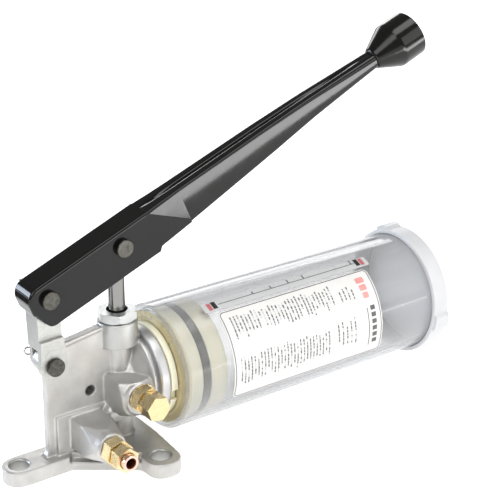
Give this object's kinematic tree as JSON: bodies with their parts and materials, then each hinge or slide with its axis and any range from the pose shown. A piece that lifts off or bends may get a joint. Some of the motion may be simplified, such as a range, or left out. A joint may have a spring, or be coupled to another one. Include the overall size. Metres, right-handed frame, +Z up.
{
  "type": "hand lever grease pump",
  "caption": "Hand-lever lubrication pump: cast body on a three-lobed foot, clear horizontal reservoir with follower piston, black lever on a link, brass outlet and bleed screw.",
  "frame": {"origin": "underside of the foot plate, on the plunger's axis", "axes": "+X along the reservoir towards its end cap, -Y the side with the outlet and the bleed screw, +Z up along the plunger"},
  "size_m": [0.2743, 0.0952, 0.2119],
  "materials": {
    "cast_aluminium": "sand-cast, shot-blasted, machined faces bright",
    "zinc_plate": "zinc plated, satin",
    "polished_steel": "ground and polished",
    "bright_steel": "bright drawn",
    "brass": "machined, bright",
    "copper": "copper-coloured, machined",
    "black_paint": "gloss black paint on pressed steel",
    "black_plastic": "gloss moulded",
    "black_oxide": "black oxide, satin",
    "machined_aluminium": "die-cast and machined, satin",
    "clear_plastic": "clear, glossy",
    "cap_plastic": "grey translucent, moulded",
    "cream_plastic": "cream nylon, moulded",
    "label_film": "white printed film",
    "scale_film": "printed film",
    "rubber": "moulded nitrile"
  },
  "bodies": {
    "root": {"pump_casting": "cast_aluminium", "gland_nut": "zinc_plate", "rod_packing": "rubber", "valve_seat": "brass", "valve_spring": "bright_steel", "outlet_adapter": "brass", "outlet_union_nut": "brass", "outlet_sleeve": "copper", "bleed_washer": "copper", "bleed_adapter": "brass", "neck_gasket": "rubber"},
    "plunger": {"plunger_rod": "polished_steel", "rod_eye": "bright_steel"},
    "lever": {"lever_arm": "black_paint", "handle_knob": "black_plastic", "link_pin": "black_oxide", "link_split_pin": "bright_steel", "rod_pin": "black_oxide", "rod_split_pin": "bright_steel"},
    "link": {"link": "machined_aluminium", "ear_pin": "black_oxide", "ear_washer": "bright_steel", "ear_split_pin": "bright_steel"},
    "reservoir": {"reservoir_collar": "cream_plastic", "reservoir_tube": "clear_plastic", "end_cap": "cap_plastic", "label": "label_film", "level_scale": "scale_film"},
    "piston": {"follower_piston": "cream_plastic", "piston_seal": "rubber"},
    "bleed_screw": {"bleed_screw": "brass"},
    "valve_ball": {"valve_ball": "bright_steel"}
  },
  "joints": [
    {"name": "plunger_slide", "type": "slide", "parent": "root", "child": "plunger", "axis": [0, 0, 1], "range_m": [-0.017, 0]},
    {"name": "lever_swing", "type": "hinge", "parent": "plunger", "child": "lever", "pos_m": [0, 0, 0.1189], "axis": [0, -1, 0], "range_deg": [-20, 0]},
    {"name": "link_swing", "type": "hinge", "parent": "root", "child": "link", "pos_m": [-0.0428, 0, 0.0632], "axis": [0, -1, 0], "range_deg": [0, 6]},
    {"name": "reservoir_twist", "type": "hinge", "parent": "root", "child": "reservoir", "pos_m": [0.0209, 0, 0.0405], "axis": [1, 0, 0], "range_deg": [0, 360]},
    {"name": "piston_slide", "type": "slide", "parent": "reservoir", "child": "piston", "axis": [1, 0, 0], "range_m": [0, 0.15]},
    {"name": "bleed_screw_turn", "type": "hinge", "parent": "root", "child": "bleed_screw", "pos_m": [0, -0.0302, 0.0386], "axis": [0, -1, 0], "range_deg": [0, 360]},
    {"name": "valve_ball_lift", "type": "slide", "parent": "root", "child": "valve_ball", "axis": [0, 0, -1], "range_m": [0, 0.0015], "stiffness_N_per_m": 300, "springref_m": -0.002, "deforming": ["valve_spring"]}
  ],
  "couplings": [
    {"joint": "plunger_slide", "follows": "lever_swing", "m_per_rad": 0.04704},
    {"joint": "link_swing", "follows": "lever_swing", "ratio": -0.29}
  ]
}
